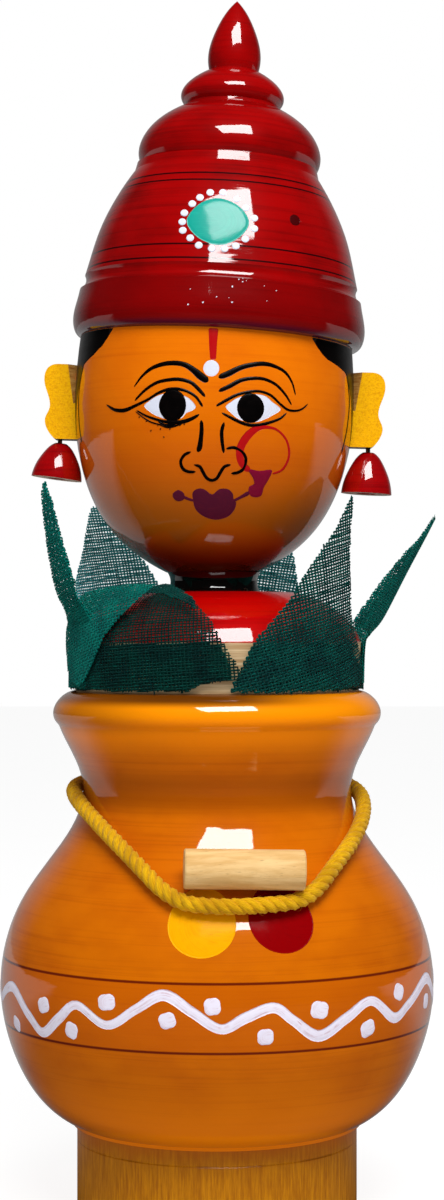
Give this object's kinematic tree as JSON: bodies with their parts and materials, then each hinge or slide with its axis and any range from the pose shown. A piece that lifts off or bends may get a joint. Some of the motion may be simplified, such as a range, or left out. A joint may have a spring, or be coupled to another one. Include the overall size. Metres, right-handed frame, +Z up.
{
  "type": "kalash doll",
  "caption": "Lathe-turned lacquered wooden doll: a painted head in a tiered red cap, on a round orange pot with gauze leaves, a yellow thread and a stick.",
  "frame": {"origin": "centre of the foot's flat underside, on the surface the doll stands on", "axes": "+Z up along the lathe axis; the face looks toward -Y; +X is at the viewer's right"},
  "size_m": [0.0879, 0.0862, 0.2408],
  "materials": {
    "orange_lacquer": "glossy lac over turned wood",
    "foot_lacquer": "thin yellow lac over bare grain",
    "red_lacquer": "glossy red lac",
    "shoulder_lacquer": "glossy red lac over a bare wooden band",
    "face_lacquer": "glossy orange lac, painted face, black hair",
    "black_lacquer": "black lac",
    "ear_paint": "yellow paint on sawn wood",
    "bell_lacquer": "glossy red lac, bare underside",
    "bare_wood": "bare turned dowel",
    "brad_steel": "small wire brads",
    "gauze": "stiff open-weave green gauze",
    "thread": "twisted yellow cotton"
  },
  "bodies": {
    "pot": {"pot_body": "orange_lacquer", "pot_foot": "foot_lacquer", "thread_rope": "thread", "thread_knot": "thread", "turmeric_stick": "bare_wood"},
    "shoulders": {"shoulder_plug": "shoulder_lacquer", "neck_peg": "bare_wood", "neck_collar": "black_lacquer", "leaf_band": "gauze", "leaf_front": "gauze", "leaf_left": "gauze", "leaf_right_front": "gauze", "leaf_right": "gauze", "leaf_back_left": "gauze", "leaf_back_right": "gauze"},
    "head": {"head": "face_lacquer", "cap_peg": "bare_wood", "ear_pins": "bare_wood", "ear_plate_left": "ear_paint", "ear_plate_right": "ear_paint", "bell_brads": "brad_steel"},
    "cap": {"cap_dome": "red_lacquer", "cap_finial": "red_lacquer"},
    "bell_left": {"bell_left": "bell_lacquer"},
    "bell_right": {"bell_right": "bell_lacquer"}
  },
  "joints": [
    {"name": "plug_lift", "type": "slide", "parent": "pot", "child": "shoulders", "axis": [0, 0, 1], "range_m": [0, 0.018]},
    {"name": "head_turn", "type": "hinge", "parent": "shoulders", "child": "head", "pos_m": [-0.0006, 0, 0.1265], "axis": [0, 0, 1], "continuous": true},
    {"name": "cap_turn", "type": "hinge", "parent": "head", "child": "cap", "pos_m": [0.0002, 0, 0.172], "axis": [0.0523, 0, 0.9986], "continuous": true},
    {"name": "bell_left_swing", "type": "hinge", "parent": "head", "child": "bell_left", "pos_m": [-0.0314, 0, 0.1506], "axis": [0, 1, 0], "range_deg": [-5, 5]},
    {"name": "bell_right_swing", "type": "hinge", "parent": "head", "child": "bell_right", "pos_m": [0.0302, 0, 0.1488], "axis": [0, 1, 0], "range_deg": [-9, 1]}
  ]
}
